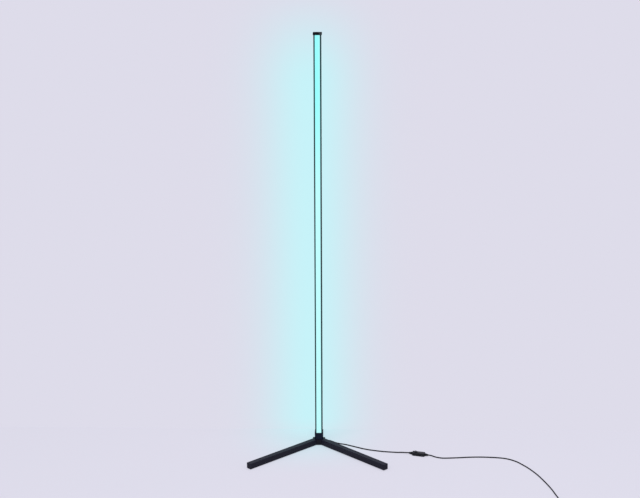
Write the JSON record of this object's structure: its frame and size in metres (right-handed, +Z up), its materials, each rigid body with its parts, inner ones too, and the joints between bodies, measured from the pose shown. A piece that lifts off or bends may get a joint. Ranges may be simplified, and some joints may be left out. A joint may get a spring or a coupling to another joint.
{
  "type": "corner floor lamp",
  "caption": "Slim upright floor lamp: a glowing channel in a black aluminium profile on low splayed tube legs, with a thin cord, an inline rocker switch and a plug.",
  "frame": {"origin": "on the floor under the pole's axis, at the centre of the hub's foot", "axes": "+Z up along the pole; the light faces -Y, between the two front legs; the cord leaves the hub towards +X"},
  "size_m": [0.9902, 0.6404, 1.4],
  "materials": {
    "pole_black": "black anodised aluminium, satin",
    "diffuser": "milky plastic, lit cyan from inside",
    "led_board": "white light strip",
    "led_chip": "clear resin over pale yellow",
    "base_black": "black powder coat, satin",
    "cap_black": "black moulded plastic",
    "foot_rubber": "black rubber",
    "screw_steel": "blackened steel",
    "cord_black": "black vinyl sheath, semi-matte",
    "switch_black": "fine-grained black plastic",
    "rocker_black": "smooth dark grey plastic",
    "contact_brass": "plain brass",
    "copper_wire": "thin insulated wire",
    "plug_metal": "nickel-plated steel sheet",
    "plug_black": "moulded vinyl"
  },
  "bodies": {
    "lamp": {"pole_channel": "pole_black", "diffuser": "diffuser", "led_strip": "led_board", "led_chips": "led_chip", "lead_inside": "cord_black", "top_cap": "cap_black", "top_cap_screws": "screw_steel", "pole_socket": "base_black", "pole_screws": "screw_steel", "socket_screws": "screw_steel", "hub_body": "base_black", "hub_plate": "base_black", "hub_plate_screws": "screw_steel", "leg_left": "base_black", "leg_right": "base_black", "leg_rear": "base_black", "leg_screws": "screw_steel", "leg_cap_left": "cap_black", "leg_cap_right": "cap_black", "leg_cap_rear": "cap_black", "foot_left": "foot_rubber", "foot_right": "foot_rubber", "foot_rear": "foot_rubber", "foot_hub": "foot_rubber", "cord_gland": "cord_black", "cord_to_switch": "cord_black", "switch_base": "switch_black", "switch_cover": "switch_black", "switch_terminals": "contact_brass", "switch_wires": "copper_wire", "switch_screws": "screw_steel", "switch_relief_in": "cord_black", "switch_relief_out": "cord_black", "cord_to_coil": "cord_black", "cord_coil": "cord_black", "coil_tie": "foot_rubber", "cord_to_plug": "cord_black", "plug_relief": "plug_black", "plug_grip": "plug_black", "plug_shell": "plug_metal", "plug_tongue": "plug_black", "plug_contacts": "contact_brass"},
    "rocker": {"switch_rocker": "rocker_black", "switch_plunger": "contact_brass"},
    "contact_lever": {"switch_lever": "contact_brass"}
  },
  "joints": [
    {"name": "rocker_tilt", "type": "hinge", "parent": "lamp", "child": "rocker", "pos_m": [0.338, -0.1, 0.0092], "axis": [0.2756, 0.9613, 0], "range_deg": [-16, 0]},
    {"name": "contact_seesaw", "type": "hinge", "parent": "lamp", "child": "contact_lever", "pos_m": [0.338, -0.1, 0.00337], "axis": [0.2756, 0.9613, 0], "range_deg": [0, 16]}
  ],
  "couplings": [
    {"joint": "contact_seesaw", "follows": "rocker_tilt", "ratio": -1}
  ]
}
